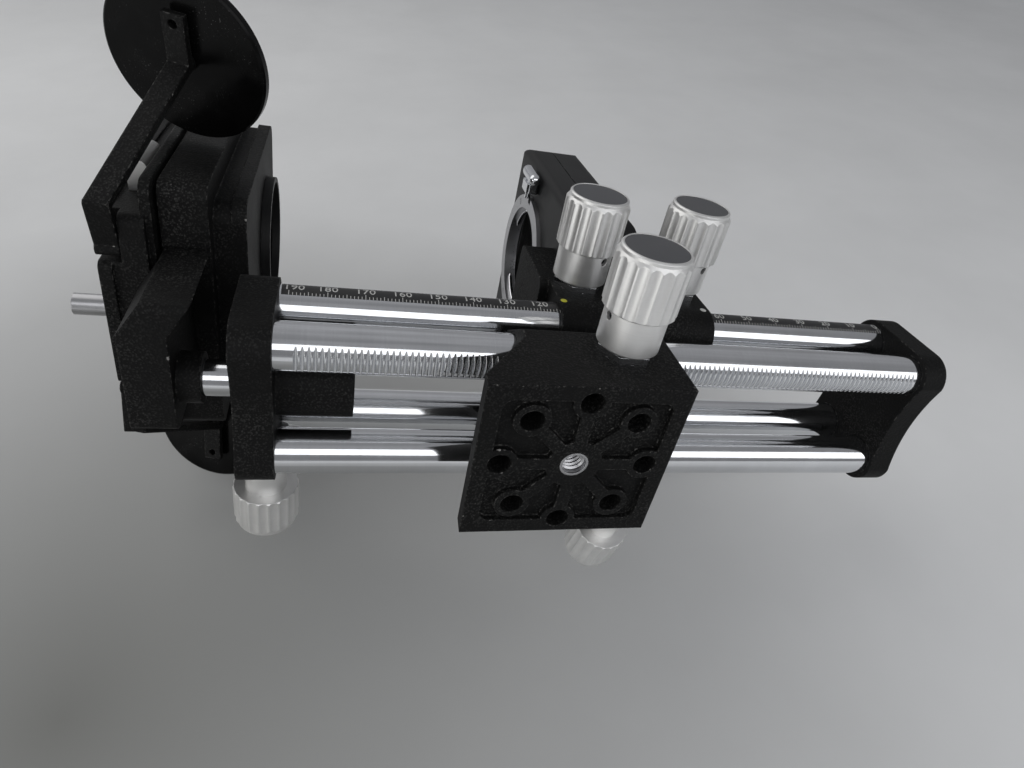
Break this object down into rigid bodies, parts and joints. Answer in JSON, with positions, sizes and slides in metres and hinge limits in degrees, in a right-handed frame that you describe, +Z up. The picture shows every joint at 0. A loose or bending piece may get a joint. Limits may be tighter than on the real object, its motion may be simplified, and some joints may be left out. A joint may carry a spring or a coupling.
{
  "type": "macro bellows with slide copier",
  "caption": "Macro bellows on a rod rail: rack-driven lens and camera standards, pleated bellows, tripod foot, fluted knobs and a slide copier with film trays.",
  "frame": {"origin": "mouth of the tripod thread, in the underside of the foot", "axes": "+X along the rail from the copier to the free end, +Z up from the foot to the optical axis, drive knobs towards -Y"},
  "size_m": [0.2563, 0.1696, 0.148],
  "materials": {
    "wrinkle_black": "fine wrinkle black paint, worn on the edges",
    "satin_black": "satin black paint",
    "chrome_rod": "polished chrome with fine turning marks",
    "knob_alloy": "satin turned aluminium",
    "cap_grey": "matt dark grey",
    "plain_steel": "plain turned steel",
    "bright_chrome": "polished chrome",
    "bellows_cloth": "matt black bellows leathercloth",
    "opal": "translucent white opal",
    "disc_black": "glossy black",
    "scale_black": "black scale with white marks"
  },
  "bodies": {
    "foot": {"foot_block": "wrinkle_black", "tripod_bush": "plain_steel", "foot_bearing_nut": "bright_chrome", "foot_brake_pin": "plain_steel"},
    "foot_drive": {"foot_drive_knob": "knob_alloy", "foot_knob_cap": "cap_grey", "foot_pinion_shaft": "plain_steel"},
    "foot_lock": {"foot_lock_knob": "knob_alloy", "foot_lock_screw": "plain_steel"},
    "rail": {"rod_scale": "chrome_rod", "rod_rack": "chrome_rod", "rod_low_far": "chrome_rod", "rod_high_far": "chrome_rod", "scale_strip": "scale_black", "left_end_plate": "wrinkle_black", "right_end_plate": "wrinkle_black", "end_plate_screws": "plain_steel"},
    "copier_clamp": {"clamp_knob": "knob_alloy", "clamp_screw": "plain_steel"},
    "rear_standard": {"rear_carriage": "wrinkle_black", "rear_plate": "satin_black", "rear_bearing_nut": "bright_chrome", "bellows_rear_frame": "satin_black", "bellows": "bellows_cloth"},
    "camera_mount": {"camera_mount_ring": "bright_chrome"},
    "rear_drive": {"rear_drive_knob": "knob_alloy", "rear_knob_cap": "cap_grey", "rear_pinion_shaft": "plain_steel"},
    "rear_lock": {"rear_lock_knob": "knob_alloy", "rear_lock_screw": "plain_steel"},
    "front_standard": {"front_carriage": "wrinkle_black", "front_plate": "satin_black", "lens_mount_ring": "bright_chrome", "front_bearing_nut": "bright_chrome", "bellows_front_frame": "satin_black", "release_bracket": "bright_chrome"},
    "front_drive": {"front_drive_knob": "knob_alloy", "front_knob_cap": "cap_grey", "front_pinion_shaft": "plain_steel"},
    "front_lock": {"front_lock_knob": "knob_alloy", "front_lock_screw": "plain_steel"},
    "lens_release": {"lens_release_pin": "bright_chrome"},
    "copier": {"copier_rod": "chrome_rod", "copier_bracket": "wrinkle_black", "copier_body": "wrinkle_black", "copier_ring": "satin_black", "gate_guide_pins": "knob_alloy"},
    "gate": {"gate_frame": "wrinkle_black", "opal_diffuser": "opal", "gate_catch": "knob_alloy", "tray_hinge_pins": "plain_steel"},
    "tray_near": {"tray_arm_near": "wrinkle_black", "tray_disc_near": "disc_black"},
    "tray_far": {"tray_arm_far": "wrinkle_black", "tray_disc_far": "disc_black"}
  },
  "joints": [
    {"name": "rail_slide", "type": "slide", "parent": "foot", "child": "rail", "axis": [1, 0, 0], "range_m": [-0.092, 0.04]},
    {"name": "foot_drive_turn", "type": "hinge", "parent": "foot", "child": "foot_drive", "pos_m": [0.0125, -0.0245, 0.0168], "axis": [0, 1, 0], "range_deg": [-880, 384]},
    {"name": "foot_lock_turn", "type": "hinge", "parent": "foot", "child": "foot_lock", "pos_m": [0.0215, 0.036, 0.012], "axis": [0, 0.9563, 0.2924], "range_deg": [0, 180]},
    {"name": "rear_slide", "type": "slide", "parent": "rail", "child": "rear_standard", "axis": [1, 0, 0], "range_m": [0, 0.063]},
    {"name": "rear_drive_turn", "type": "hinge", "parent": "rear_standard", "child": "rear_drive", "pos_m": [0.04559, -0.02125, 0.0599], "axis": [0, 1, 0], "range_deg": [0, 603]},
    {"name": "rear_lock_turn", "type": "hinge", "parent": "rear_standard", "child": "rear_lock", "pos_m": [0.0458, 0.033, 0.0479], "axis": [0, 1, 0], "range_deg": [0, 180]},
    {"name": "camera_mount_turn", "type": "hinge", "parent": "rear_standard", "child": "camera_mount", "pos_m": [0.0328, 0, 0.119], "axis": [1, 0, 0], "range_deg": [0, 90]},
    {"name": "draw", "type": "slide", "parent": "rear_standard", "child": "front_standard", "axis": [-1, 0, 0], "range_m": [0, 0.078], "deforming": ["bellows"]},
    {"name": "front_drive_turn", "type": "hinge", "parent": "front_standard", "child": "front_drive", "pos_m": [0.0126, -0.02125, 0.0599], "axis": [0, 1, 0], "range_deg": [-746, 0]},
    {"name": "front_lock_turn", "type": "hinge", "parent": "front_standard", "child": "front_lock", "pos_m": [0.0134, 0.033, 0.0479], "axis": [0, 1, 0], "range_deg": [0, 180]},
    {"name": "lens_release_press", "type": "slide", "parent": "front_standard", "child": "lens_release", "axis": [0, -1, 0], "range_m": [0, 0.002], "stiffness_N_per_m": 400, "springref_m": -0.002},
    {"name": "copier_slide", "type": "slide", "parent": "rail", "child": "copier", "axis": [1, 0, 0], "range_m": [-0.02, 0.006]},
    {"name": "copier_clamp_turn", "type": "hinge", "parent": "rail", "child": "copier_clamp", "pos_m": [-0.0786, 0.02965, 0.03835], "axis": [0, 1, 0], "range_deg": [0, 180]},
    {"name": "gate_open", "type": "slide", "parent": "copier", "child": "gate", "axis": [-1, 0, 0], "range_m": [0, 0.005], "stiffness_N_per_m": 500, "springref_m": -0.006},
    {"name": "tray_near_fold", "type": "hinge", "parent": "gate", "child": "tray_near", "pos_m": [-0.117, -0.0223, 0.0572], "axis": [1, 0, 0], "range_deg": [0, 40]},
    {"name": "tray_far_fold", "type": "hinge", "parent": "gate", "child": "tray_far", "pos_m": [-0.117, 0.0223, 0.0572], "axis": [-1, 0, 0], "range_deg": [0, 40]}
  ],
  "couplings": [
    {"joint": "foot_drive_turn", "follows": "rail_slide", "rad_per_m": 166.67},
    {"joint": "rear_drive_turn", "follows": "rear_slide", "rad_per_m": 166.67},
    {"joint": "front_drive_turn", "follows": "draw", "rad_per_m": -166.67}
  ]
}
